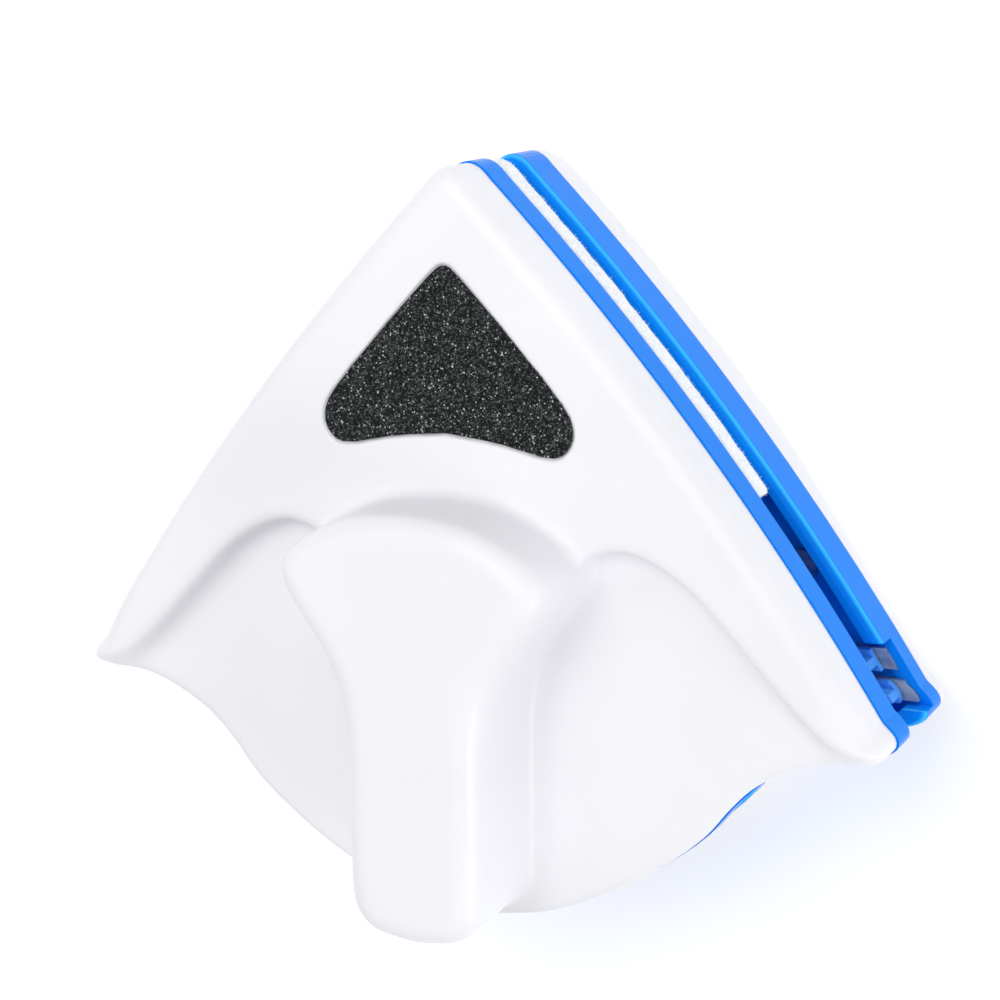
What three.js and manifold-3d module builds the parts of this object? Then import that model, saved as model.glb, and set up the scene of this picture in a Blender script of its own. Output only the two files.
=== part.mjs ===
// Double-sided magnetic glass cleaner: two triangular halves that hold each other
// through a pane. The inner half carries the T-shaped grip, the outer half is plain.
// Millimetres, +Z up from the outer half's flat back to the grip, +Y towards the apex.
import * as THREE from 'three';
import { mergeVertices } from 'three/addons/utils/BufferGeometryUtils.js';
import Module from 'manifold-3d';

const wasm = await Module();
wasm.setup();

// ---- driving dimensions -------------------------------------------------------
const HALF_WIDTH = 74.8;         // centre line to a lower corner
const APEX_Y = 92.4;            // apex above the line through the lower corners
const BULGE_Y = -38.2;          // lowest point of the round base
const APEX_RADIUS = 4.5;
const CENTRE_Y = 27;            // middle of the triangle, which insets shrink towards
const INRADIUS = 35.5;          // from that middle to each long side

const OUTER_SEAM_Z = 12;        // outer shell meets outer chassis
const OUTER_RIM_Z = 21;         // wiping side of the outer chassis
const PARTING_Z = 24;           // where the pane would be
const INNER_RIM_Z = 29.8;
const INNER_SEAM_Z = 37;
const FACE_Z = 47;              // front face of the inner shell
const HANDLE_TOP_Z = 63.5;

const GAP = 0.3;                // running gap between neighbouring pieces
const SEAM_GAP = 0.1;           // closed seam between a shell and its chassis
const WALL = 2;                 // moulded wall
const RIM_WALL = 1.9;           // wall round the wiping side
const HOLLOW_INSET = 4;         // inside of the chassis walls behind the deck
const FLOOR = 2;                // chassis floor and deck
const RIM_EDGE = [[0, 1.1], [0.15, 0.55], [0.5, 0.18], [1, 0]];
const RECESS_DEPTH = 5;         // wiper recess below the rim
const PAD_LOW_Y = 37.8;         // straight lower edge of the pads
const OUTER_DECK_DROP = 2;      // the outer pad's deck lies this far inside its rim
const PAD_INSET = { inner: 0.3, outer: 3.2 };
const TAPE_INSET = 12;
const TAPE_LOW_Y = 40;
const TAPE_DEPTH = 0.6;

const SCOOP_FLOOR_Z = 41.5;     // floor of the finger hollows beside the grip
const SCOOP_RISE = 3.2;         // how much the floor rises towards a corner
const HANDLE_EDGE = 4;          // rounded edge of the grip
const FACE_EDGE = 3.5;          // height of the rounded edge of the inner shell's face
const FACE_SHOULDER = { apex: 3.5, base: 2.2, from: 15, span: 12 };  // and its width
const INLAY_POCKET = 0.9;       // depth of the pocket in the face
const INLAY = { inset: 0.35, low: 0.6, high: 0.1 };
const BACK_SHOULDER = { apex: 3, base: 7, from: 48, span: 34 };  // outer shell's back edge

const BLADE_Y = { upper: 10.1, lower: 5 };
const BLADE_BASE_WIDTH = 3.4;
const BLADE_BASE_DEPTH = 1.6;
const BLADE_LIP_WIDTH = 1.2;
const STIFFENER_DEPTH = 1;
const BLADE_GATE_INSET = 2.3;   // blade end at the gate, inside the outline
const STRIP_GATE_INSET = 1;     // the steel strip stands further out of the gate
const BLIND_END_INSET = 2.9;    // both ends at the closed corner
const RAIL_HALF_LENGTH = 57;
const RAIL_LOW_Y = 1.8;
const RAIL_HIGH_Y = 13.6;
const NOTCH_LOW_Y = 2.6;        // gate in the rim where the blades slide out
const NOTCH_HIGH_Y = 13.4;
const NOTCH_DEPTH = 4.4;

const SIDE_MAGNET = { x: 12.3, y: 50.5, width: 18, length: 22, depth: 8 };
const BASE_MAGNET = { x: 0, y: -8, width: 15, length: 28, depth: 6 };
const YOKE_DEPTH = 1.5;
const YOKE_WIDTH = [42, 14.6];
const YOKE_ENDS = [[39.3, 61.7], [-28, 12]];
const POCKET_WALL = 1.2;
const POCKET_HEIGHT = 3;

const CASE_SCREWS = { apex: [0, 76.5], left: [-51.5, 24.5], right: [51.5, 24.5], base: [0, -31.5] };
const SIDE_YOKE_SCREWS = { upper: [0, 59.5], lower: [0, 41.5] };
const BASE_YOKE_SCREWS = { upper: [0, 9.2], lower: [0, -25.2] };
const SHANK_RADIUS = 1.4;
const PILOT_RADIUS = 1.7;
const CASE_HEAD = { radius: 2.9, height: 1.8 };
const YOKE_HEAD = { radius: 2.2, height: 1.4 };
const BOSS_RADIUS = 3.2;
const YOKE_BOSS_RADIUS = 2.3;
const OUTER_PILOT_Z = 6.8;      // pilot holes stop short of the outer shell's back
const INNER_PILOT_Z = 44.6;     // and short of the inner shell's face
const CASE_SCREW_LENGTH = 8;
const YOKE_SCREW_LENGTH = 5;

// ---- materials ----------------------------------------------------------------
const material = (color, roughness, metalness = 0) =>
  new THREE.MeshStandardMaterial({ color, roughness, metalness });
const whitePlastic = material(0xf2f1f6, 0.3);
const bluePlastic = material(0x2f87fa, 0.3);
const blueRubber = material(0x3f93ee, 0.6);
const padCloth = material(0xf4f4f4, 0.95);
const hookTape = material(0xe2e4e8, 0.9);
const sparkleSheet = material(0x2b2c2e, 0.55);
const magnetPlate = material(0xb9bcc0, 0.3, 1);
const yokeSteel = material(0x9a9da2, 0.4, 1);
const screwSteel = material(0xa9acb0, 0.35, 1);

// ---- solids and meshes ----------------------------------------------------------
function solid(geometry) {
  geometry.deleteAttribute('normal');
  geometry.deleteAttribute('uv');
  const merged = mergeVertices(geometry, 1e-4);
  return new wasm.Manifold(new wasm.Mesh({
    numProp: 3,
    vertProperties: new Float32Array(merged.attributes.position.array),
    triVerts: new Uint32Array(merged.index.array),
  }));
}

function geometryOf(body) {
  const { vertProperties, triVerts } = body.getMesh();
  const geometry = new THREE.BufferGeometry();
  geometry.setAttribute('position', new THREE.BufferAttribute(vertProperties, 3));
  geometry.setIndex(new THREE.BufferAttribute(triVerts, 1));
  geometry.computeVertexNormals();
  return geometry;
}

const join = (...bodies) => bodies.reduce((whole, body) => whole.add(body));

function box(x0, x1, y0, y1, z0, z1) {
  const geometry = new THREE.BoxGeometry(x1 - x0, y1 - y0, z1 - z0);
  return solid(geometry.translate((x0 + x1) / 2, (y0 + y1) / 2, (z0 + z1) / 2));
}

function post(x, y, z0, z1, radius, sides = 20) {
  const geometry = new THREE.CylinderGeometry(radius, radius, Math.abs(z1 - z0), sides);
  return solid(geometry.rotateX(Math.PI / 2).translate(x, y, (z0 + z1) / 2));
}

// ---- outlines -------------------------------------------------------------------
const vec = (x, y) => new THREE.Vector2(x, y);

// Closed shape that is the same on both sides of x = 0, from its right half.
function mirroredShape(rightHalf) {
  const left = rightHalf.filter((p) => p.x > 1e-6).map((p) => vec(-p.x, p.y)).reverse();
  return new THREE.Shape([...rightHalf, ...left]);
}

function curvePoints(curve, count) {
  return curve.getPoints(count).slice(1);
}

// Right half of the plan shared by both halves: rounded apex, slightly bowed side,
// rounded corner, then the hollow sweep into the round base.
function planHalf() {
  const sideTop = vec(APEX_RADIUS * 0.86, APEX_Y - APEX_RADIUS * 0.52);
  const sideLow = vec(HALF_WIDTH - 2.5, 5.4);
  const bow = vec(43, 51);
  const cornerTip = vec(HALF_WIDTH + 3.2, 1);
  const cornerLow = vec(70.5, -0.8);
  const apex = new THREE.QuadraticBezierCurve(vec(0, APEX_Y), vec(2.1, APEX_Y - 0.1), sideTop);
  const side = new THREE.QuadraticBezierCurve(sideTop, bow, sideLow);
  const corner = new THREE.QuadraticBezierCurve(sideLow, cornerTip, cornerLow);
  const base = new THREE.SplineCurve([
    cornerLow, vec(64.5, -1.4), vec(58.5, -3.7), vec(52, -7.7), vec(47, -12.8),
    vec(42.5, -18.4), vec(35.5, -24.2), vec(26.6, -30), vec(14.5, -35.5), vec(0, BULGE_Y),
  ]);
  return [
    vec(0, APEX_Y), ...curvePoints(apex, 4), ...curvePoints(side, 10),
    ...curvePoints(corner, 10), ...curvePoints(base, 22),
  ];
}
const plan = mirroredShape(planHalf());

// Right half of the grip seen from above: a round cross head on a straight stem.
function gripHalf() {
  const head = new THREE.SplineCurve([
    vec(0, 38.2), vec(9.5, 37.2), vec(17.5, 33.8), vec(22.8, 29.6), vec(23.6, 25.6), vec(20.9, 20.4),
    vec(16.7, 14.6), vec(13.5, 7.8), vec(12.2, 0),
  ]);
  const foot = new THREE.SplineCurve([vec(12, -26), vec(11.1, -30.6), vec(7.4, -34.2), vec(0, -35.4)]);
  return [...head.getPoints(18), ...foot.getPoints(7)];
}

// Area of the finger hollows, open towards the base.
function scoopShape(grow = 0) {
  const arch = new THREE.SplineCurve([
    vec(14, 23 + grow), vec(22, 27.6 + grow), vec(28, 30.8 + grow), vec(34, 30.6 + grow),
    vec(42 + grow * 0.5, 26.2 + grow), vec(50 + grow * 0.7, 18.4 + grow * 0.7),
    vec(58 + grow * 0.7, 9.9 + grow * 0.7), vec(66 + grow * 0.7, 2.8 + grow * 0.7), vec(73 + grow, -0.8),
  ]);
  return mirroredShape([vec(0, 20), ...arch.getPoints(18), vec(90, -8), vec(90, -50), vec(0, -50)]);
}

function inlayShape(inset) {
  const side = new THREE.SplineCurve([
    vec(0, 76.6 - inset), vec(2.3 - inset * 0.6, 75.4 - inset), vec(12 - inset, 65.1),
    vec(21 - inset, 54.9), vec(23 - inset, 50.6), vec(22 - inset * 0.8, 47.2 + inset * 0.6),
    vec(18.6 - inset * 0.3, 45.6 + inset), vec(9.4, 47.4 + inset), vec(0, 48.4 + inset),
  ]);
  return mirroredShape(side.getPoints(22));
}

// ---- lofted and extruded bodies ---------------------------------------------------
// Stack of the plan's outline: each ring is (inset, z), both of which may follow y.
function loft(rings, shape = plan) {
  const steps = rings.length - 1;
  const geometry = new THREE.ExtrudeGeometry(shape, { depth: steps, steps, bevelEnabled: false });
  const position = geometry.attributes.position;
  for (let i = 0; i < position.count; i += 1) {
    const x = position.getX(i);
    const y = position.getY(i);
    const { inset, z } = rings[Math.round(position.getZ(i))](y);
    const scale = 1 - inset / INRADIUS;
    position.setXYZ(i, x * scale, (y - CENTRE_Y) * scale + CENTRE_Y, z);
  }
  return solid(geometry);
}

const ring = (inset, z) => () => ({ inset, z });
const prism = (inset, z0, z1) => loft([ring(inset, z0), ring(inset, z1)]);

// The part of such a prism above the line y = lowY: pads and their hook tapes.
const apexPrism = (inset, lowY, z0, z1) =>
  prism(inset, z0, z1).intersect(box(-90, 90, lowY, 95, z0, z1));

function extrude(shape, z0, z1) {
  const geometry = new THREE.ExtrudeGeometry(shape, { depth: z1 - z0, bevelEnabled: false });
  return solid(geometry.translate(0, 0, z0));
}

// Width of a shoulder along y: narrow at the apex, wider below the level "from".
const shoulderWidth = ({ apex, base, from, span }) => (y) =>
  apex + base * THREE.MathUtils.smoothstep(from - y, 0, span);

// Quarter-ellipse shoulder from a wall at z0 to a flat at z1.
function shoulder(z0, z1, width, steps) {
  return Array.from({ length: steps + 1 }, (_, i) => {
    const angle = (i / steps) * (Math.PI / 2);
    return (y) => ({
      inset: width(y) * (1 - Math.cos(angle)),
      z: z0 + (z1 - z0) * Math.sin(angle),
    });
  });
}

function gripBody(inset, z0, z1, edge) {
  const size = inset + edge;
  const geometry = new THREE.ExtrudeGeometry(mirroredShape(gripHalf()), {
    depth: z1 - z0 - 2 * edge, bevelEnabled: true, bevelThickness: edge,
    bevelSize: edge, bevelOffset: -size, bevelSegments: 3,
  });
  return solid(geometry.translate(0, 0, z0 + edge));
}

// Everything above the hollows' floor, which lifts towards the corners.
function scoopBody(grow) {
  const floor = new THREE.QuadraticBezierCurve(vec(40, 0), vec(58, 0), vec(76, SCOOP_RISE));
  const low = SCOOP_FLOOR_Z - grow;
  const half = [vec(0, low), ...floor.getPoints(5).map((p) => vec(p.x, p.y + low))];
  const profile = mirroredShape([...half, vec(76, 80), vec(0, 80)]);
  const geometry = new THREE.ExtrudeGeometry(profile, { depth: 140, bevelEnabled: false });
  const above = solid(geometry.rotateX(Math.PI / 2).translate(0, 80, 0));
  return above.intersect(extrude(scoopShape(grow), 20, 70));
}

// ---- shells -------------------------------------------------------------------------
function innerShell() {
  const outside = loft([ring(0, INNER_SEAM_Z),
    ...shoulder(FACE_Z - FACE_EDGE, FACE_Z, shoulderWidth(FACE_SHOULDER), 4)]);
  const inside = loft([ring(WALL, INNER_SEAM_Z - 1), ring(WALL, FACE_Z - WALL - 1.5),
    ring(WALL + 1.5, FACE_Z - WALL)]);
  const bosses = join(...Object.values(CASE_SCREWS).map(([x, y]) =>
    post(x, y, INNER_SEAM_Z, FACE_Z - WALL / 2, BOSS_RADIUS)));
  const pilots = join(...Object.values(CASE_SCREWS).map(([x, y]) =>
    post(x, y, INNER_SEAM_Z - 1, INNER_PILOT_Z, PILOT_RADIUS, 12)));
  const gripInside = gripBody(WALL, INNER_SEAM_Z - 8, HANDLE_TOP_Z - WALL, 2);
  const cavity = inside.subtract(scoopBody(WALL)).add(gripInside.intersect(prism(WALL, 30, 70)));
  return outside.subtract(scoopBody(0))
    .add(gripBody(0, INNER_SEAM_Z + 1, HANDLE_TOP_Z, HANDLE_EDGE).intersect(prism(0, 30, 70)))
    .subtract(cavity)
    .add(bosses.intersect(prism(WALL / 2, 30, 70)))
    .subtract(pilots)
    .subtract(extrude(inlayShape(0), FACE_Z - INLAY_POCKET, FACE_Z + 1));
}

function outerShell() {
  const width = shoulderWidth(BACK_SHOULDER);
  const outside = loft([ring(0, OUTER_SEAM_Z), ...shoulder(OUTER_SEAM_Z - 1, 0, width, 6)].reverse());
  const inside = loft([...shoulder(OUTER_SEAM_Z - 1, WALL, (y) => width(y) + 0.5, 4)
    .map((at) => (y) => ({ inset: at(y).inset + WALL, z: at(y).z })).reverse(),
  ring(WALL, OUTER_SEAM_Z + 1)]);
  const bosses = join(...Object.values(CASE_SCREWS).map(([x, y]) =>
    post(x, y, WALL / 2, OUTER_SEAM_Z, BOSS_RADIUS)));
  const pilots = join(...Object.values(CASE_SCREWS).map(([x, y]) =>
    post(x, y, OUTER_PILOT_Z, OUTER_SEAM_Z + 1, PILOT_RADIUS, 12)));
  return outside.subtract(inside).add(bosses.intersect(outside)).subtract(pilots);
}

// ---- chassis --------------------------------------------------------------------------
// Both chassis are built from their wiping side; "away" is +1 where the shell lies
// above the rim (inner half) and -1 where it lies below (outer half). "gate" is the
// corner, +X or -X, where the wipers slide out: one moulding turned face to face.
function chassis({ rim, seam, away, gate, deckDrop, magnetSets }) {
  const at = (depth) => rim + away * depth;
  const span = (depth0, depth1) => [at(depth0), at(depth1)].sort((a, b) => a - b);
  const slab = (inset, depth0, depth1) => prism(inset, ...span(depth0, depth1));
  const cut = (x0, x1, y0, y1, depth0, depth1) => box(x0, x1, y0, y1, ...span(depth0, depth1));
  const gateCut = (x0, x1, ...rest) => (gate > 0 ? cut(x0, x1, ...rest) : cut(-x1, -x0, ...rest));
  const back = Math.abs(seam - rim) - SEAM_GAP;
  const floorBack = RECESS_DEPTH + FLOOR;
  const deckBack = deckDrop + FLOOR;
  const wall = [ring(0, at(back)), ...RIM_EDGE.map(([inset, depth]) => ring(inset, at(depth)))];
  const outside = loft(away > 0 ? wall.reverse() : wall);

  const upper = (inset, depth0, depth1, lowY) =>
    slab(inset, depth0, depth1).intersect(cut(-90, 90, lowY, 95, depth0, depth1));
  const lower = (inset, depth0, depth1, highY) =>
    slab(inset, depth0, depth1).intersect(cut(-90, 90, -50, highY, depth0, depth1));

  let body = outside.subtract(lower(RIM_WALL, -2, RECESS_DEPTH, PAD_LOW_Y - 1));
  if (deckDrop > 0) {
    body = body.subtract(upper(RIM_WALL, -2, deckDrop, PAD_LOW_Y - 1.5));
  }
  body = body.subtract(upper(HOLLOW_INSET, deckBack, back + 2, PAD_LOW_Y + 1));
  body = body.subtract(apexPrism(TAPE_INSET - GAP, TAPE_LOW_Y - GAP,
    ...span(deckDrop - 0.1, deckDrop + TAPE_DEPTH + GAP)));
  if (back > floorBack) {
    body = body.subtract(lower(HOLLOW_INSET, floorBack, back + 2, PAD_LOW_Y + 1.1));
  }

  const bosses = join(...Object.values(CASE_SCREWS).map(([x, y]) =>
    post(x, y, at(back), at(back + 4), BOSS_RADIUS + GAP)));
  const tongue = slab(WALL + GAP * 1.8, back - 1, back + 1.8)
    .subtract(slab(HOLLOW_INSET, back - 2, back + 3)).subtract(bosses);
  const rail = cut(-RAIL_HALF_LENGTH, RAIL_HALF_LENGTH, RAIL_LOW_Y, RAIL_HIGH_Y, 0, RECESS_DEPTH + 0.5);
  body = body.add(tongue).add(rail);
  for (const y of Object.values(BLADE_Y)) {
    const slotHalf = BLADE_BASE_WIDTH / 2 + GAP;
    const lipHalf = BLADE_LIP_WIDTH / 2 + GAP;
    body = body.subtract(gateCut(-RAIL_HALF_LENGTH - 1, 90, y - lipHalf, y + lipHalf, -1, NOTCH_DEPTH)
      .intersect(slab(RIM_WALL, -1, NOTCH_DEPTH)));
    body = body.subtract(gateCut(-RAIL_HALF_LENGTH - 1, 90, y - slotHalf, y + slotHalf, 0.8, NOTCH_DEPTH)
      .intersect(slab(RIM_WALL, 0.8, NOTCH_DEPTH)));
  }
  body = body.subtract(gateCut(RAIL_HALF_LENGTH, 90, NOTCH_LOW_Y, NOTCH_HIGH_Y, -1, NOTCH_DEPTH));

  for (const { magnet, screws, depth, sides } of magnetSets) {
    for (const x of sides) {
      const halfX = magnet.width / 2 + GAP;
      const halfY = magnet.length / 2 + GAP;
      const pocket = (grow, depth0, depth1) => cut(x - halfX - grow, x + halfX + grow,
        magnet.y - halfY - grow, magnet.y + halfY + grow, depth0, depth1);
      const frame = pocket(POCKET_WALL, depth - 0.5, depth + POCKET_HEIGHT);
      body = body.add(frame.subtract(pocket(0, depth, depth + POCKET_HEIGHT + 1)));
    }
    for (const [x, y] of Object.values(screws)) {
      body = body.add(post(x, y, at(depth - 0.5), at(depth + magnet.depth + GAP), YOKE_BOSS_RADIUS, 16));
      body = body.subtract(post(x, y, at(depth + 1), at(depth + magnet.depth + 1), PILOT_RADIUS, 12));
    }
  }
  for (const [x, y] of Object.values(CASE_SCREWS)) {
    const inDeck = y > PAD_LOW_Y;
    if (inDeck) {
      body = body.add(post(x, y, at(deckDrop + 0.5), at(back), BOSS_RADIUS + 1.4));
      body = body.subtract(post(x, y, at(-1), at(RECESS_DEPTH), CASE_HEAD.radius + GAP));
    } else if (back > floorBack) {
      body = body.add(post(x, y, at(floorBack - 0.5), at(back), BOSS_RADIUS + 1));
    }
    body = body.subtract(post(x, y, at(-1), at(back + 1), PILOT_RADIUS, 12));
  }
  return body;
}

// ---- wipers, magnets, yokes and screws ----------------------------------------------
function wiper({ rim, away, gate, y, parting }) {
  const at = (depth) => rim + away * depth;
  const span = (z0, z1) => [z0, z1].sort((a, b) => a - b);
  const bed = NOTCH_DEPTH - GAP;
  const stiffenerTop = bed - STIFFENER_DEPTH;
  const baseBack = stiffenerTop - GAP;
  const half = BLADE_BASE_WIDTH / 2;
  const blind = prism(BLIND_END_INSET, 10, 40).intersect(box(-90, 90, -50, 95, 10, 40)
    .subtract(gate > 0 ? box(0, 90, -50, 95, 9, 41) : box(-90, 0, -50, 95, 9, 41)));
  const reach = (inset) => blind.add(prism(inset, 10, 40)
    .intersect(gate > 0 ? box(-1, 90, -50, 95, 10, 40) : box(-90, 1, -50, 95, 10, 40)));
  const bar = (width, z0, z1, inset) =>
    box(-80, 80, y - width, y + width, ...span(z0, z1)).intersect(reach(inset));
  const blade = bar(half, at(baseBack), at(baseBack - BLADE_BASE_DEPTH), BLADE_GATE_INSET)
    .add(bar(BLADE_LIP_WIDTH / 2, at(baseBack), parting + away * GAP, BLADE_GATE_INSET));
  const stiffener = bar(half, at(bed), at(stiffenerTop), STRIP_GATE_INSET);
  return { blade, stiffener };
}

function screw(x, y, headZ, away, head, length) {
  const shank = post(x, y, headZ, headZ + away * length, SHANK_RADIUS, 12);
  const cap = post(x, y, headZ, headZ - away * head.height, head.radius, 20);
  const recessZ = headZ - away * head.height;
  const arm = head.radius * 0.6;
  const bar = (halfX, halfY) => {
    const [z0, z1] = [recessZ + away * 0.8, recessZ - away].sort((a, b) => a - b);
    return box(x - halfX, x + halfX, y - halfY, y + halfY, z0, z1);
  };
  return shank.add(cap).subtract(bar(arm, 0.35).add(bar(0.35, arm)));
}

function yokePlate(width, low, high, z0, z1, screws) {
  const plate = box(-width / 2, width / 2, low, high, z0, z1);
  return plate.subtract(join(...Object.values(screws).map(([sx, sy]) =>
    post(sx, sy, z0 - 1, z1 + 1, PILOT_RADIUS, 12))));
}

// ---- assembly -----------------------------------------------------------------------
const cleaner = new THREE.Group();
cleaner.position.y = -(APEX_Y + BULGE_Y) / 2;

function place(name, body, look) {
  const mesh = new THREE.Mesh(geometryOf(body), look);
  mesh.name = name;
  cleaner.add(mesh);
}

function buildHalf(side) {
  const inner = side === 'inner';
  const away = inner ? 1 : -1;
  const rim = inner ? INNER_RIM_Z : OUTER_RIM_Z;
  const seam = inner ? INNER_SEAM_Z : OUTER_SEAM_Z;
  const deckDrop = inner ? 0 : OUTER_DECK_DROP;
  const gate = inner ? -1 : 1;
  const at = (depth) => rim + away * depth;
  const span = (depth0, depth1) => [at(depth0), at(depth1)].sort((a, b) => a - b);
  const magnetSets = [
    {
      magnet: SIDE_MAGNET,
      screws: SIDE_YOKE_SCREWS,
      depth: deckDrop + FLOOR,
      sides: [-SIDE_MAGNET.x, SIDE_MAGNET.x],
    },
    {
      magnet: BASE_MAGNET,
      screws: BASE_YOKE_SCREWS,
      depth: RECESS_DEPTH + FLOOR,
      sides: [BASE_MAGNET.x],
    },
  ];

  place(`${side}_shell`, inner ? innerShell() : outerShell(), whitePlastic);
  place(`${side}_chassis`, chassis({ rim, seam, away, gate, deckDrop, magnetSets }), bluePlastic);

  const padFace = Math.abs(PARTING_Z - rim) - GAP / 2;
  place(`${side}_pad`, apexPrism(PAD_INSET[side], PAD_LOW_Y, ...span(deckDrop - GAP, -padFace)), padCloth);
  place(`${side}_pad_hook_tape`, apexPrism(TAPE_INSET, TAPE_LOW_Y,
    ...span(deckDrop, deckDrop + TAPE_DEPTH)), hookTape);

  for (const [level, y] of Object.entries(BLADE_Y)) {
    const { blade, stiffener } = wiper({ rim, away, gate, y, parting: PARTING_Z });
    place(`${side}_blade_${level}`, blade, blueRubber);
    place(`${side}_blade_stiffener_${level}`, stiffener, yokeSteel);
  }

  const magnetNames = [['magnet_left', 'magnet_right'], ['magnet_base']];
  const yokeNames = ['yoke_plate_upper', 'yoke_plate_base'];
  magnetSets.forEach(({ magnet, screws, depth, sides }, set) => {
    const magnetBack = depth + magnet.depth;
    sides.forEach((x, i) => {
      place(`${side}_${magnetNames[set][i]}`, box(x - magnet.width / 2, x + magnet.width / 2,
        magnet.y - magnet.length / 2, magnet.y + magnet.length / 2,
        ...span(depth + GAP, magnetBack)), magnetPlate);
    });
    const yokeFront = magnetBack + GAP * 2;
    const yokeBack = yokeFront + YOKE_DEPTH;
    place(`${side}_${yokeNames[set]}`, yokePlate(YOKE_WIDTH[set], ...YOKE_ENDS[set],
      ...span(yokeFront, yokeBack), screws), yokeSteel);
    for (const [level, [x, y]] of Object.entries(screws)) {
      const name = `${side}_${yokeNames[set].replace('plate_', '')}_screw_${level}`;
      place(name, screw(x, y, at(yokeBack + GAP), -away, YOKE_HEAD, YOKE_SCREW_LENGTH), screwSteel);
    }
  });

  for (const [spot, [x, y]] of Object.entries(CASE_SCREWS)) {
    place(`${side}_case_screw_${spot}`,
      screw(x, y, at(RECESS_DEPTH - GAP), away, CASE_HEAD, CASE_SCREW_LENGTH), screwSteel);
  }
}

buildHalf('outer');
buildHalf('inner');
place('inner_inlay', extrude(inlayShape(INLAY.inset), FACE_Z - INLAY.low, FACE_Z - INLAY.high), sparkleSheet);

export default cleaner;
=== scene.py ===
"""Looks of the double-sided magnetic glass cleaner: fine shells, cloth pads, sparkle inlay and light."""
import math

import bmesh
import bpy
import numpy as np
from mathutils import Matrix, Vector


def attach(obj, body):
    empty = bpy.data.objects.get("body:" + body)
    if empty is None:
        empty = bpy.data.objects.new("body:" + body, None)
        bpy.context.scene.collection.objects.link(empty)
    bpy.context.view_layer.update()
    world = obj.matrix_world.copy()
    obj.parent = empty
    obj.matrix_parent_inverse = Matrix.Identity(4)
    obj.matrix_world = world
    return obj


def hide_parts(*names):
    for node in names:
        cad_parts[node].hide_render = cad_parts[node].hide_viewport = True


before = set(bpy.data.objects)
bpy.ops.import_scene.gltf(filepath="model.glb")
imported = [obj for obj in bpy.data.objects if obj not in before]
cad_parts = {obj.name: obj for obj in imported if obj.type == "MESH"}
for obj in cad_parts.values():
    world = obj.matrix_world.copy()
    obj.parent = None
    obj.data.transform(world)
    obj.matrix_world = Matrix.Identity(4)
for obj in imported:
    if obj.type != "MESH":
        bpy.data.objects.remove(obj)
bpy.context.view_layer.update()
MM = 0.001

# ---- sizes shared with the CAD, in millimetres ---------------------------------------
HALF_WIDTH = 74.8
APEX_Y = 92.4
BULGE_Y = -38.2
APEX_RADIUS = 4.5
CENTRE_Y = 27.0
INRADIUS = 35.5
SHIFT_Y = -(APEX_Y + BULGE_Y) / 2

OUTER_SEAM_Z = 12.0
OUTER_RIM_Z = 21.0
INNER_RIM_Z = 29.8
INNER_SEAM_Z = 37.0
FACE_Z = 47.0
HANDLE_TOP_Z = 63.5
WALL = 2.0
SCOOP_FLOOR_Z = 41.5
SCOOP_RISE = 3.2

# ---- soft edges of the inner shell, in millimetres -------------------------------------
FACE_ROUND = 3.5                 # round of the plate's edge above FACE_ROUND_FROM_Y
FACE_ROUND_EXTRA = 1.8           # added to it below that, over FACE_ROUND_SPAN
FACE_ROUND_FROM_Y = 15
FACE_ROUND_SPAN = 12
SCOOP_FLOOR_ROUND = 3.2
SCOOP_LIP_ROUND = 2.0
HANDLE_ROUND = 4.0
HANDLE_FOOT_ROUND = 2.2
SIDE_ROUND = 1.0
INLAY_POCKET = 0.9
POCKET_FLOOR_ROUND = 0.2
POCKET_LIP_ROUND = 0.5
SCOOP_RISE_FROM_X = 40           # the hollows' floor climbs outwards from here
SCOOP_RISE_SPAN = 36

# ---- back shoulder of the outer shell, in millimetres ------------------------------------
SHOULDER_APEX = 3                # width above SHOULDER_FROM_Y
SHOULDER_EXTRA = 7               # added to it below that, over SHOULDER_SPAN
SHOULDER_FROM_Y = 48
SHOULDER_SPAN = 34

# ---- pads, in millimetres ----------------------------------------------------------------
PAD_LOW_Y = 37.8
PAD_CORNER_ROUND = 1.6
PAD_FACE_ROUND = 0.8
PAD_BACK_ROUND = 0.5
FIBRE_COUNT = 20000
FIBRE_LENGTH = 0.6
FIBRE_HALF_WIDTH = 0.028


# ---- plan curves -----------------------------------------------------------------------
def bend(a, b, c, count):
    """Quadratic curve from a to c with control b, without its first point."""
    t = np.linspace(0, 1, count + 1)[1:, None]
    a, b, c = (np.array(p, float) for p in (a, b, c))
    return (1 - t) ** 2 * a + 2 * t * (1 - t) * b + t**2 * c


def spline(points, count):
    """Uniform Catmull-Rom curve through the points, count + 1 points."""
    points = np.array(points, float)
    out = []
    for s in np.linspace(0, len(points) - 1, count + 1):
        i = min(int(s), len(points) - 2)
        w = s - i
        p1, p2 = points[i], points[i + 1]
        p0 = points[i - 1] if i > 0 else p1
        p3 = points[i + 2] if i + 2 < len(points) else p2
        v0, v1 = (p2 - p0) / 2, (p3 - p1) / 2
        out.append((2 * p1 - 2 * p2 + v0 + v1) * w**3 + (-3 * p1 + 3 * p2 - 2 * v0 - v1) * w**2 + v0 * w + p1)
    return np.array(out)


def mirrored(half):
    """Closed outline from its right half."""
    half = np.array(half)
    left = half[half[:, 0] > 1e-6][::-1] * [-1, 1]
    return np.vstack([half, left])


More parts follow.
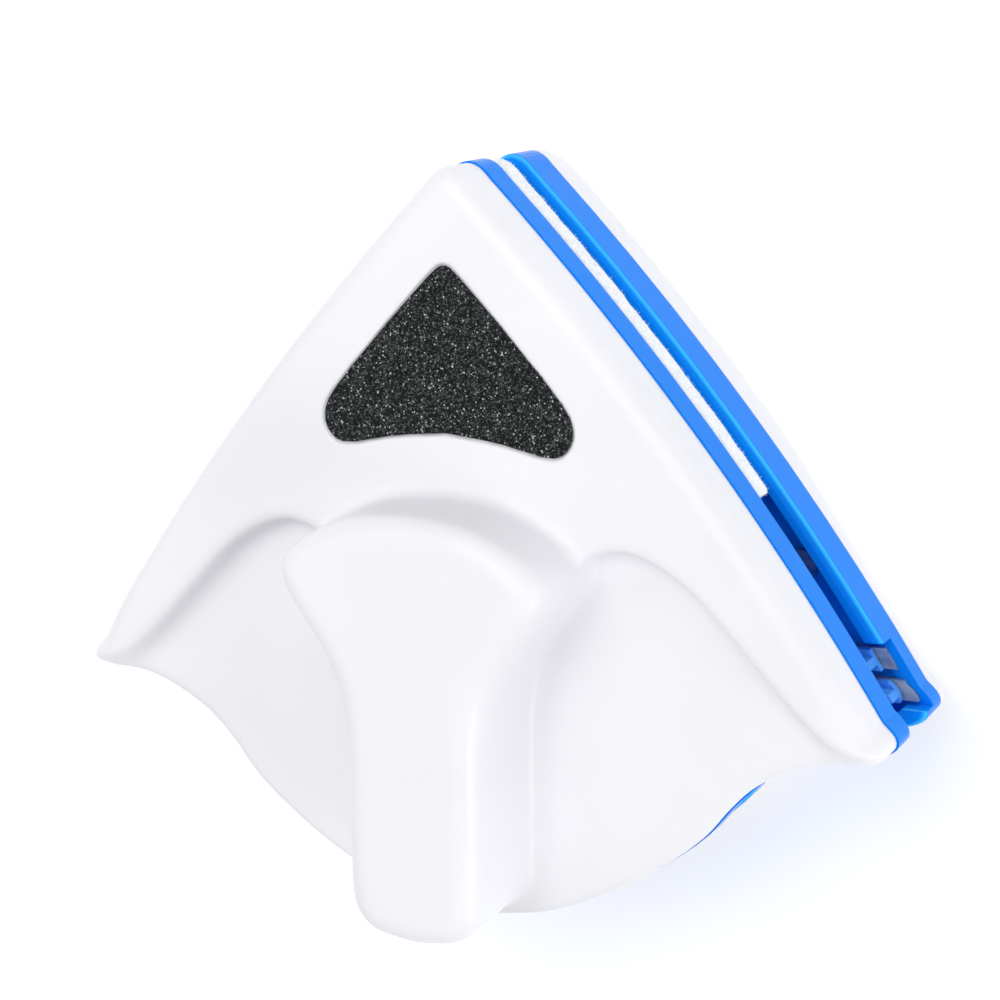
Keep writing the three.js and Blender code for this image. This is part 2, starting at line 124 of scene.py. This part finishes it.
def plan_outline():
    top = (APEX_RADIUS * 0.86, APEX_Y - APEX_RADIUS * 0.52)
    low = (HALF_WIDTH - 2.5, 5.4)
    corner_low = (70.5, -0.8)
    base = spline([corner_low, (64.5, -1.4), (58.5, -3.7), (52, -7.7), (47, -12.8), (42.5, -18.4),
                   (35.5, -24.2), (26.6, -30), (14.5, -35.5), (0, BULGE_Y)], 64)
    return mirrored(np.vstack([
        [(0, APEX_Y)], bend((0, APEX_Y), (2.1, APEX_Y - 0.1), top, 10), bend(top, (43, 51), low, 60),
        bend(low, (HALF_WIDTH + 3.2, 1), corner_low, 14), base[1:]]))


def grip_outline():
    head = spline([(0, 38.2), (9.5, 37.2), (17.5, 33.8), (22.8, 29.6), (23.6, 25.6), (20.9, 20.4),
                   (16.7, 14.6), (13.5, 7.8), (12.2, 0)], 60)
    foot = spline([(12, -26), (11.1, -30.6), (7.4, -34.2), (0, -35.4)], 20)
    return mirrored(np.vstack([head, foot]))


def scoop_outline():
    arch = spline([(14, 23), (22, 27.6), (28, 30.8), (34, 30.6), (42, 26.2), (50, 18.4), (58, 9.9),
                   (66, 2.8), (73, -0.8)], 60)
    return mirrored(np.vstack([[(0, 20)], arch, [(90, -8), (90, -50), (0, -50)]]))


def inlay_outline(inset):
    half = spline([(0, 76.6 - inset), (2.3 - inset * 0.6, 75.4 - inset), (12 - inset, 65.1),
                   (21 - inset, 54.9), (23 - inset, 50.6), (22 - inset * 0.8, 47.2 + inset * 0.6),
                   (18.6 - inset * 0.3, 45.6 + inset), (9.4, 47.4 + inset), (0, 48.4 + inset)], 60)
    return mirrored(half)


# ---- signed distances ------------------------------------------------------------------
class PlanField:
    """Signed distance to a plan outline, negative inside, read from a half-millimetre grid."""

    STEP = 0.5
    LOW = np.array([-84.0, -48.0])
    HIGH = np.array([84.0, 100.0])

    def __init__(self, outline, blur=2):
        nx, ny = ((self.HIGH - self.LOW) / self.STEP).astype(int) + 1
        xs = self.LOW[0] + self.STEP * np.arange(nx)
        ys = self.LOW[1] + self.STEP * np.arange(ny)
        points = np.stack(np.meshgrid(xs, ys, indexing="ij"), -1).reshape(-1, 2)
        best = np.full(len(points), np.inf)
        inside = np.zeros(len(points), bool)
        for a, b in zip(outline, np.roll(outline, -1, 0)):
            edge = b - a
            along = np.clip(((points - a) @ edge) / max(edge @ edge, 1e-12), 0, 1)
            best = np.minimum(best, ((points - a - along[:, None] * edge) ** 2).sum(1))
            crosses = (a[1] > points[:, 1]) != (b[1] > points[:, 1])
            if abs(edge[1]) > 1e-12:
                inside ^= crosses & (points[:, 0] < a[0] + (points[:, 1] - a[1]) * edge[0] / edge[1])
        grid = (np.sqrt(best) * np.where(inside, -1, 1)).reshape(nx, ny)
        for _ in range(blur):
            padded = np.pad(grid, 1, mode="edge")
            grid = (padded[:-2, 1:-1] + padded[2:, 1:-1] + padded[1:-1, :-2] + padded[1:-1, 2:]
                    + 4 * padded[1:-1, 1:-1]) / 8
        self.grid = grid

    def __call__(self, x, y):
        u = np.clip((x - self.LOW[0]) / self.STEP, 0, self.grid.shape[0] - 1.001)
        v = np.clip((y - self.LOW[1]) / self.STEP, 0, self.grid.shape[1] - 1.001)
        i, j = u.astype(int), v.astype(int)
        a, b = u - i, v - j
        g = self.grid
        return ((1 - a) * (1 - b) * g[i, j] + a * (1 - b) * g[i + 1, j]
                + (1 - a) * b * g[i, j + 1] + a * b * g[i + 1, j + 1])


def ease(t):
    t = np.clip(t, 0, 1)
    return t * t * (3 - 2 * t)


def soft_min(a, b, radius):
    k = radius * 1.17
    return np.minimum(a, b) - np.maximum(k - np.abs(a - b), 0) ** 2 / (4 * k)


def soft_max(a, b, radius):
    return -soft_min(-a, -b, radius)


def shell_field():
    """Distance to the inner shell's skin: plate, finger hollows, grip and inlay recess, with soft edges."""
    plan = PlanField(plan_outline())
    scoop = PlanField(scoop_outline())
    grip = PlanField(grip_outline())
    recess = PlanField(inlay_outline(0), blur=0)

    def field(p):
        x, y, z = p[:, 0], p[:, 1], p[:, 2]
        edge = plan(x, y)
        face_round = FACE_ROUND + FACE_ROUND_EXTRA * ease((FACE_ROUND_FROM_Y - y) / FACE_ROUND_SPAN)
        plate = soft_max(edge, z - FACE_Z, face_round)
        t = np.clip((np.abs(x) - SCOOP_RISE_FROM_X) / SCOOP_RISE_SPAN, 0, 1.2)
        floor = SCOOP_FLOOR_Z + SCOOP_RISE * t**2
        hollow = soft_max(scoop(x, y), floor - z, SCOOP_FLOOR_ROUND)
        plate = soft_max(plate, -hollow, SCOOP_LIP_ROUND)
        handle = soft_max(grip(x, y), z - HANDLE_TOP_Z, HANDLE_ROUND)
        body = soft_max(soft_min(plate, handle, HANDLE_FOOT_ROUND), edge, SIDE_ROUND)
        pocket = soft_max(recess(x, y), FACE_Z - INLAY_POCKET - z, POCKET_FLOOR_ROUND)
        return soft_max(body, -pocket, POCKET_LIP_ROUND)

    return field


# ---- meshes ----------------------------------------------------------------------------
def link(name, mesh):
    obj = bpy.data.objects.new(name, mesh)
    bpy.context.scene.collection.objects.link(obj)
    return obj


def smooth(obj, angle=None):
    obj.data.polygons.foreach_set("use_smooth", [True] * len(obj.data.polygons))
    if angle is not None:
        obj.data.set_sharp_from_angle(angle=math.radians(angle))


def remeshed(node, name, voxel):
    """Copy of a CAD node's mesh on an even grid of quads."""
    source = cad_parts[node]
    obj = link(name, source.data.copy())
    obj.data.materials.clear()
    modifier = obj.modifiers.new("even", "REMESH")
    modifier.mode = "VOXEL"
    modifier.voxel_size = voxel * MM
    evaluated = obj.evaluated_get(bpy.context.evaluated_depsgraph_get())
    mesh = bpy.data.meshes.new_from_object(evaluated)
    obj.modifiers.clear()
    obj.data = mesh
    return obj


def read_points(mesh):
    points = np.empty(len(mesh.vertices) * 3)
    mesh.vertices.foreach_get("co", points)
    return points.reshape(-1, 3)


def to_plan(points):
    return points / MM - [0, SHIFT_Y, 0]


def to_world(points):
    return (points + [0, SHIFT_Y, 0]) * MM


def gradient(field, points, step=0.15):
    columns = []
    for axis in np.eye(3):
        columns.append((field(points + axis * step) - field(points - axis * step)) / (2 * step))
    return np.stack(columns, 1)


def settle_on(obj, field, reach):
    """Moves the vertices of the outer skin onto the field's zero surface."""
    mesh = obj.data
    points = to_plan(read_points(mesh))
    normals = np.empty(len(mesh.vertices) * 3)
    mesh.vertices.foreach_get("normal", normals)
    slope = gradient(field, points)
    facing = (normals.reshape(-1, 3) * slope).sum(1)
    skin = np.where((np.abs(field(points)) < reach) & (facing > 0.25))[0]
    moved = points[skin]
    for _ in range(4):
        slope = gradient(field, moved)
        step = field(moved) / np.maximum((slope**2).sum(1), 0.25)
        moved = moved - slope * step[:, None]
    points[skin] = moved
    mesh.vertices.foreach_set("co", to_world(points).ravel())
    mesh.update()


def tube_of_rings(name, outline, rings):
    """Closed body from a stack of rings; each ring is a function of y giving (inset, z)."""
    verts, faces = [], []
    count = len(outline)
    for ring in rings:
        for x, y in outline:
            inset, z = ring(y)
            scale = 1 - inset / INRADIUS
            verts.append((x * scale, (y - CENTRE_Y) * scale + CENTRE_Y, z))
    for r in range(len(rings) - 1):
        for i in range(count):
            j = (i + 1) % count
            faces.append((r * count + i, r * count + j, (r + 1) * count + j, (r + 1) * count + i))
    faces.append(tuple(reversed(range(count))))
    last = (len(rings) - 1) * count
    faces.append(tuple(range(last, last + count)))
    mesh = bpy.data.meshes.new(name)
    mesh.from_pydata(to_world(np.array(verts)).tolist(), [], faces)
    body = bmesh.new()
    body.from_mesh(mesh)
    bmesh.ops.recalc_face_normals(body, faces=body.faces)
    body.to_mesh(mesh)
    body.free()
    return link(name, mesh)


# ---- materials ---------------------------------------------------------------------------
def new_material(name, colour, roughness, **sockets):
    material = bpy.data.materials.new(name)
    material.use_nodes = True
    shader = material.node_tree.nodes["Principled BSDF"]
    shader.inputs["Base Color"].default_value = (*colour, 1)
    shader.inputs["Roughness"].default_value = roughness
    for socket, value in sockets.items():
        shader.inputs[socket.replace("_", " ")].default_value = value
    return material, material.node_tree, shader


def bump(tree, shader, height, strength, distance):
    node = tree.nodes.new("ShaderNodeBump")
    node.inputs["Strength"].default_value = strength
    node.inputs["Distance"].default_value = distance * MM
    tree.links.new(height, node.inputs["Height"])
    tree.links.new(node.outputs["Normal"], shader.inputs["Normal"])


def noise(tree, scale, detail=2.0):
    coordinates = tree.nodes.new("ShaderNodeTexCoord")
    node = tree.nodes.new("ShaderNodeTexNoise")
    node.inputs["Scale"].default_value = scale
    node.inputs["Detail"].default_value = detail
    tree.links.new(coordinates.outputs["Object"], node.inputs["Vector"])
    return node


def ramp(tree, value, stops):
    node = tree.nodes.new("ShaderNodeValToRGB")
    node.color_ramp.elements[0].position, node.color_ramp.elements[0].color = stops[0][0], (*stops[0][1], 1)
    node.color_ramp.elements[1].position, node.color_ramp.elements[1].color = stops[-1][0], (*stops[-1][1], 1)
    for position, colour in stops[1:-1]:
        element = node.color_ramp.elements.new(position)
        element.color = (*colour, 1)
    tree.links.new(value, node.inputs["Fac"])
    return node


def glossy_plastic(name, colour, roughness, specular, grain, tint=(1.0, 1.0, 1.0)):
    """Moulded plastic: faint flow marks in the colour, uneven polish and a fine mould texture."""
    material, tree, shader = new_material(name, colour, roughness, Specular_IOR_Level=specular,
                                          Specular_Tint=(*tint, 1.0))
    flow = noise(tree, 26, 3)
    low = tuple(c * 0.965 for c in colour)
    shade = ramp(tree, flow.outputs["Fac"], [(0.35, low), (0.65, colour)])
    tree.links.new(shade.outputs["Color"], shader.inputs["Base Color"])
    polish = ramp(tree, noise(tree, 60, 4).outputs["Fac"],
                  [(0.3, (roughness * 0.85,) * 3), (0.7, (roughness * 1.2,) * 3)])
    tree.links.new(polish.outputs["Color"], shader.inputs["Roughness"])
    bump(tree, shader, noise(tree, grain).outputs["Fac"], 0.12, 0.012)
    return material


def cotton(name):
    """White cotton pile: clumps of fibres a little under a millimetre across, with fine threads on them."""
    material, tree, shader = new_material(name, (0.86, 0.875, 0.88), 0.95, Sheen_Weight=0.35,
                                          Sheen_Roughness=0.6, Specular_IOR_Level=0.15)
    clumps = noise(tree, 1500, 5)
    shade = ramp(tree, clumps.outputs["Fac"], [(0.3, (0.76, 0.8, 0.83)), (0.5, (0.9, 0.92, 0.93)),
                                               (0.72, (0.96, 0.96, 0.955))])
    tree.links.new(shade.outputs["Color"], shader.inputs["Base Color"])
    bump(tree, shader, clumps.outputs["Fac"], 0.4, 0.15)
    return material


def hook_cloth(name):
    """Hook tape: close-set dots standing for its stiff little hooks."""
    material, tree, shader = new_material(name, (0.72, 0.73, 0.75), 0.85, Sheen_Weight=0.15)
    rows = tree.nodes.new("ShaderNodeTexVoronoi")
    rows.inputs["Scale"].default_value = 900
    rows.inputs["Randomness"].default_value = 0.35
    coordinates = tree.nodes.new("ShaderNodeTexCoord")
    tree.links.new(coordinates.outputs["Object"], rows.inputs["Vector"])
    shade = ramp(tree, rows.outputs["Distance"], [(0.05, (0.86, 0.87, 0.88)), (0.5, (0.5, 0.51, 0.54))])
    tree.links.new(shade.outputs["Color"], shader.inputs["Base Color"])
    bump(tree, shader, rows.outputs["Distance"], 0.8, 0.3)
    return material


def sparkle_sheet(name):
    """Charcoal sheet set with fine flakes, each with its own tone and tilt."""
    material, tree, shader = new_material(name, (0.02, 0.021, 0.021), 0.55, Specular_IOR_Level=0.08)
    coordinates = tree.nodes.new("ShaderNodeTexCoord")
    flakes = tree.nodes.new("ShaderNodeTexVoronoi")
    flakes.inputs["Scale"].default_value = 4600
    tree.links.new(coordinates.outputs["Object"], flakes.inputs["Vector"])
    split = tree.nodes.new("ShaderNodeSeparateColor")
    tree.links.new(flakes.outputs["Color"], split.inputs["Color"])
    clouds = noise(tree, 420, 4)
    mixed = tree.nodes.new("ShaderNodeMath")
    mixed.operation = "MULTIPLY_ADD"
    mixed.inputs[1].default_value = 0.28
    tree.links.new(clouds.outputs["Fac"], mixed.inputs[0])
    tree.links.new(split.outputs["Red"], mixed.inputs[2])
    tone = ramp(tree, mixed.outputs["Value"], [(0.0, (0.004, 0.005, 0.005)), (0.6, (0.009, 0.010, 0.010)),
                                               (0.86, (0.022, 0.025, 0.024)), (1.0, (0.08, 0.087, 0.085))])
    glint = ramp(tree, split.outputs["Green"], [(0.95, (0, 0, 0)), (0.995, (0.9, 0.9, 0.9))])
    tree.links.new(glint.outputs["Color"], shader.inputs["Metallic"])
    lit = tree.nodes.new("ShaderNodeMix")
    lit.data_type = "RGBA"
    tree.links.new(glint.outputs["Color"], lit.inputs[0])
    tree.links.new(tone.outputs["Color"], lit.inputs[6])
    lit.inputs[7].default_value = (0.62, 0.66, 0.66, 1)
    tree.links.new(lit.outputs[2], shader.inputs["Base Color"])
    bump(tree, shader, split.outputs["Blue"], 0.6, 0.12)
    return material


def rubber(name, colour):
    """Matt soft rubber with a fine dusty surface."""
    material, tree, shader = new_material(name, colour, 0.6, Specular_IOR_Level=0.35)
    dust = noise(tree, 700, 4)
    high = tuple(min(c * 1.15 + 0.015, 1) for c in colour)
    shade = ramp(tree, dust.outputs["Fac"], [(0.4, colour), (0.75, high)])
    tree.links.new(shade.outputs["Color"], shader.inputs["Base Color"])
    bump(tree, shader, dust.outputs["Fac"], 0.25, 0.03)
    return material


def metal(name, colour, roughness, stretch):
    """Metal with a cloudy tone, drawn out into marks along X by the stretch; a stretch of 1 gives none."""
    material, tree, shader = new_material(name, colour, roughness, Metallic=1.0)
    coordinates = tree.nodes.new("ShaderNodeTexCoord")
    mapping = tree.nodes.new("ShaderNodeMapping")
    mapping.inputs["Scale"].default_value = (1, stretch, stretch)
    tree.links.new(coordinates.outputs["Object"], mapping.inputs["Vector"])
    marks = tree.nodes.new("ShaderNodeTexNoise")
    marks.inputs["Scale"].default_value = 180
    marks.inputs["Detail"].default_value = 5
    tree.links.new(mapping.outputs["Vector"], marks.inputs["Vector"])
    low = tuple(c * 0.8 for c in colour)
    shade = ramp(tree, marks.outputs["Fac"], [(0.35, low), (0.65, colour)])
    tree.links.new(shade.outputs["Color"], shader.inputs["Base Color"])
    polish = ramp(tree, marks.outputs["Fac"], [(0.3, (roughness * 0.8,) * 3), (0.7, (roughness * 1.3,) * 3)])
    tree.links.new(polish.outputs["Color"], shader.inputs["Roughness"])
    bump(tree, shader, marks.outputs["Fac"], 0.15, 0.02)
    return material


def paint_rim_highlight(material):
    """Lighter line near each chassis rim. It is a painted tone that stands for a bright reflection there."""
    tree = material.node_tree
    shader = tree.nodes["Principled BSDF"]
    plain = shader.inputs["Base Color"].links[0].from_socket
    place = tree.nodes.new("ShaderNodeTexCoord")
    split = tree.nodes.new("ShaderNodeSeparateXYZ")
    tree.links.new(place.outputs["Object"], split.inputs["Vector"])
    level = tree.nodes.new("ShaderNodeMapRange")
    level.inputs["From Min"].default_value = OUTER_SEAM_Z * MM
    level.inputs["From Max"].default_value = INNER_SEAM_Z * MM
    tree.links.new(split.outputs["Z"], level.inputs["Value"])

    def at(z):
        return (z - OUTER_SEAM_Z) / (INNER_SEAM_Z - OUTER_SEAM_Z)

    dark, full, faint = (0, 0, 0), (1, 1, 1), (0.25, 0.25, 0.25)
    line = ramp(tree, level.outputs["Result"], [
        (at(OUTER_RIM_Z - 1.1), dark), (at(OUTER_RIM_Z - 0.75), full), (at(OUTER_RIM_Z - 0.55), full),
        (at(OUTER_RIM_Z - 0.2), dark), (at(INNER_RIM_Z + 0.2), dark), (at(INNER_RIM_Z + 0.55), faint),
        (at(INNER_RIM_Z + 0.75), faint), (at(INNER_RIM_Z + 1.1), dark)])
    mix = tree.nodes.new("ShaderNodeMix")
    mix.data_type = "RGBA"
    tree.links.new(line.outputs["Color"], mix.inputs[0])
    tree.links.new(plain, mix.inputs[6])
    mix.inputs[7].default_value = (0.05, 0.52, 1.0, 1)
    tree.links.new(mix.outputs[2], shader.inputs["Base Color"])


WHITE = glossy_plastic("white shell plastic", (0.885, 0.88, 0.905), 0.36, 0.4, 2600)
BLUE = glossy_plastic("blue chassis plastic", (0.003, 0.24, 0.93), 0.2, 0.06, 2600, tint=(0.25, 0.75, 1.0))
paint_rim_highlight(BLUE)
COTTON = cotton("white cotton pile")
CAD_LOOKS = {
    "chassis": BLUE,
    "hook_tape": hook_cloth("hook tape"),
    "inlay": sparkle_sheet("charcoal sparkle sheet"),
    "blade": rubber("blue blade rubber", (0.05, 0.3, 0.9)),
    "stiffener": metal("wiper strip steel", (0.62, 0.6, 0.59), 0.5, 6),
    "magnet": metal("nickel plate", (0.72, 0.71, 0.68), 0.22, 1),
    "yoke_plate": metal("zinc sheet", (0.6, 0.61, 0.63), 0.4, 8),
    "screw": metal("screw steel", (0.62, 0.62, 0.61), 0.32, 3),
}

# ---- shells ------------------------------------------------------------------------------
inner_shell = remeshed("inner_shell", "inner_shell_skin", 0.7)
settle_on(inner_shell, shell_field(), 1.6)
smooth(inner_shell)
inner_shell.data.materials.append(WHITE)
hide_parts("inner_shell")
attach(inner_shell, "inner_half")


def shoulder_width(y):
    return SHOULDER_APEX + SHOULDER_EXTRA * ease((SHOULDER_FROM_Y - y) / SHOULDER_SPAN)


def outer_ring(angle, inset, bottom, extra):
    return lambda y: (inset + (shoulder_width(y) + extra) * (1 - math.cos(angle)),
                      OUTER_SEAM_Z - 1 + (bottom - OUTER_SEAM_Z + 1) * math.sin(angle))


angles = np.linspace(0, math.pi / 2, 19)
inside_rings = [outer_ring(a, WALL, WALL, 0.5) for a in angles[::-1]]
outside_rings = [outer_ring(a, 0, 0, 0) for a in angles]
edge_rings = [lambda y: (WALL, OUTER_SEAM_Z), lambda y: (0.15, OUTER_SEAM_Z),
              lambda y: (0, OUTER_SEAM_Z - 0.15)]
outer_shell = tube_of_rings("outer_shell_skin", plan_outline(), inside_rings + edge_rings + outside_rings)
smooth(outer_shell, 40)
outer_shell.data.materials.append(WHITE)
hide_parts("outer_shell")
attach(outer_shell, "outer_half")


# ---- pads ----------------------------------------------------------------------------------
def lattice_noise(points, size, seed):
    """Smooth random value between -1 and 1 on a cubic lattice of the given size."""
    table = np.random.RandomState(seed).uniform(-1, 1, 4096)
    scaled = points / size
    cell = np.floor(scaled).astype(np.int64)
    part = scaled - cell
    part = part * part * (3 - 2 * part)
    total = np.zeros(len(points))
    for corner in np.ndindex(2, 2, 2):
        key = cell + corner
        index = (key[:, 0] * 73856093 ^ key[:, 1] * 19349663 ^ key[:, 2] * 83492791) % 4096
        weight = np.prod(np.where(np.array(corner) == 1, part, 1 - part), axis=1)
        total += weight * table[index]
    return total


def pad_field(inset, z0, z1, wiping_up):
    """Distance to a pad's skin: flat on both faces, with rounder edges on the wiping side."""
    plan = PlanField(plan_outline())

    def field(p):
        x, y, z = p[:, 0], p[:, 1], p[:, 2]
        rim = soft_max(plan(x, y) + inset, PAD_LOW_Y - y, PAD_CORNER_ROUND)
        back, face = (z0 - z, z - z1) if wiping_up else (z - z1, z0 - z)
        body = soft_max(rim, face, PAD_FACE_ROUND)
        return soft_max(body, back, PAD_BACK_ROUND)

    return field


def fibres(count, length, seed, body, field):
    """Loose bent fibres standing off the pad's skin, at random over all its mesh faces."""
    random = np.random.RandomState(seed)
    mesh = body.data
    picks = random.choice(len(mesh.polygons), count)
    centres = np.empty(len(mesh.polygons) * 3)
    mesh.polygons.foreach_get("center", centres)
    roots = to_plan(centres.reshape(-1, 3)[picks]) + random.normal(0, 0.12, (count, 3))
    slope = gradient(field, roots)
    slope /= np.linalg.norm(slope, axis=1)[:, None] + 1e-9
    lean = random.normal(0, 1, (count, 3))
    lean -= (lean * slope).sum(1)[:, None] * slope
    lean /= np.linalg.norm(lean, axis=1)[:, None] + 1e-9
    span = length * random.uniform(0.4, 1.0, count)[:, None]
    wide = np.cross(slope, lean) * FIBRE_HALF_WIDTH
    middle = roots + slope * span * 0.35 + lean * span * 0.25
    tip = roots + slope * span * 0.55 + lean * span * 0.8
    start = roots - slope * 0.15
    corners = [start - wide, start + wide, middle - wide * 0.8, middle + wide * 0.8, tip]
    verts = np.stack(corners, 1).reshape(-1, 3)
    faces = []
    for i in range(count):
        k = 5 * i
        faces += [(k, k + 1, k + 3, k + 2), (k + 2, k + 3, k + 4)]
    return verts, faces


def make_pad(side, inset, z0, z1, wiping_up):
    """Cloth pad between heights z0 and z1, inset from the outline, with lumps and loose fibres."""
    field = pad_field(inset, z0, z1, wiping_up)
    pad = remeshed(f"{side}_pad", f"{side}_pad_cloth", 0.6)
    settle_on(pad, field, 2.4)
    points = to_plan(read_points(pad.data))
    normals = gradient(field, points)
    lumps = 0.12 * lattice_noise(points, 1.9, 5) + 0.06 * lattice_noise(points, 0.8, 6)
    points += normals * np.minimum(lumps - 0.08, 0.05)[:, None]
    pad.data.vertices.foreach_set("co", to_world(points).ravel())
    tufts, faces = fibres(FIBRE_COUNT, FIBRE_LENGTH, 11, pad, field)
    fuzz = bpy.data.meshes.new("fuzz")
    fuzz.from_pydata(to_world(tufts).tolist(), [], faces)
    joined = bmesh.new()
    joined.from_mesh(pad.data)
    joined.from_mesh(fuzz)
    joined.to_mesh(pad.data)
    joined.free()
    smooth(pad)
    pad.data.materials.append(COTTON)
    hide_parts(f"{side}_pad")
    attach(pad, f"{side}_half")


make_pad("inner", inset=0.4, z0=24.35, z1=29.5, wiping_up=False)
make_pad("outer", inset=3.4, z0=19.3, z1=23.65, wiping_up=True)

# ---- CAD pieces that stay ----------------------------------------------------------------------
REPLACED = {"inner_shell", "outer_shell", "inner_pad", "outer_pad"}
# A stiffener's name also holds "blade", so the order matters.
LOOK_ORDER = ("stiffener", "screw", "yoke_plate", "magnet", "hook_tape", "chassis", "inlay", "blade")
for name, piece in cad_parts.items():
    if name in REPLACED:
        continue
    look = next(CAD_LOOKS[key] for key in LOOK_ORDER if key in name)
    piece.data.materials.clear()
    piece.data.materials.append(look)
    smooth(piece, 32)
    if "chassis" in name or "blade" in name:
        edge = piece.modifiers.new("soft edges", "BEVEL")
        edge.width = (0.25 if "chassis" in name else 0.15) * MM
        edge.segments = 2
        edge.limit_method = "ANGLE"
        edge.angle_limit = math.radians(40)
        edge.harden_normals = False

# ---- floor, light and camera ----------------------------------------------------------------
scene = bpy.context.scene
scene.view_settings.view_transform = "Standard"

floor_mesh = bpy.data.meshes.new("floor")
floor_mesh.from_pydata([(-3, -3, 0), (3, -3, 0), (3, 3, 0), (-3, 3, 0)], [], [(0, 1, 2, 3)])
floor = link("floor", floor_mesh)
floor_material, _, floor_shader = new_material("floor", (0.9, 0.9, 0.9), 0.8)
floor_shader.inputs["Emission Color"].default_value = (1, 1, 1, 1)
floor_shader.inputs["Emission Strength"].default_value = 0.2
floor_mesh.materials.append(floor_material)

world = bpy.data.worlds.new("studio")
scene.world = world
world.use_nodes = True
sky = world.node_tree.nodes["Background"]
sky.inputs["Strength"].default_value = 1.0
height = world.node_tree.nodes.new("ShaderNodeSeparateXYZ")
around = world.node_tree.nodes.new("ShaderNodeTexCoord")
world.node_tree.links.new(around.outputs["Generated"], height.inputs["Vector"])
glow = ramp(world.node_tree, height.outputs["Z"], [(0.0, (0.36, 0.385, 0.4)), (0.25, (0.44, 0.46, 0.475)),
                                                   (0.8, (0.6, 0.605, 0.62))])
world.node_tree.links.new(glow.outputs["Color"], sky.inputs["Color"])


def area_light(name, place, aim, size, power, colour=(1, 1, 1)):
    data = bpy.data.lights.new(name, "AREA")
    data.size = size
    data.energy = power
    data.color = colour
    light = bpy.data.objects.new(name, data)
    scene.collection.objects.link(light)
    light.location = place
    light.rotation_euler = (Vector(aim) - Vector(place)).to_track_quat("-Z", "Y").to_euler()


area_light("key", (0.64, -0.32, 0.27), (0, 0, 0.04), 0.35, 1.75)
area_light("back", (0.14, 0.72, 0.36), (0, 0, 0.04), 0.35, 0.5)
area_light("fill", (-0.5, 0.05, 0.55), (0, 0, 0.04), 0.5, 0.75)
area_light("top", (0.0, 0.28, 0.83), (0, 0, 0.04), 0.5, 2.4, (1.0, 0.99, 1.0))

CAMERA = Vector((0.1708, 0.09403, 0.3801))
FORWARD = Vector((-0.4246, -0.2183, -0.8787))
UP = Vector((-0.0833, 0.9758, -0.2021))
right = FORWARD.cross(UP).normalized()
up = right.cross(FORWARD).normalized()
camera_data = bpy.data.cameras.new("camera")
camera_data.lens = 83.6
camera_data.sensor_width = 36
camera_data.clip_start = 0.01
camera = bpy.data.objects.new("camera", camera_data)
scene.collection.objects.link(camera)
turn = Matrix((right, up, -FORWARD.normalized())).transposed()
camera.matrix_world = Matrix.Translation(CAMERA) @ turn.to_4x4()
scene.camera = camera
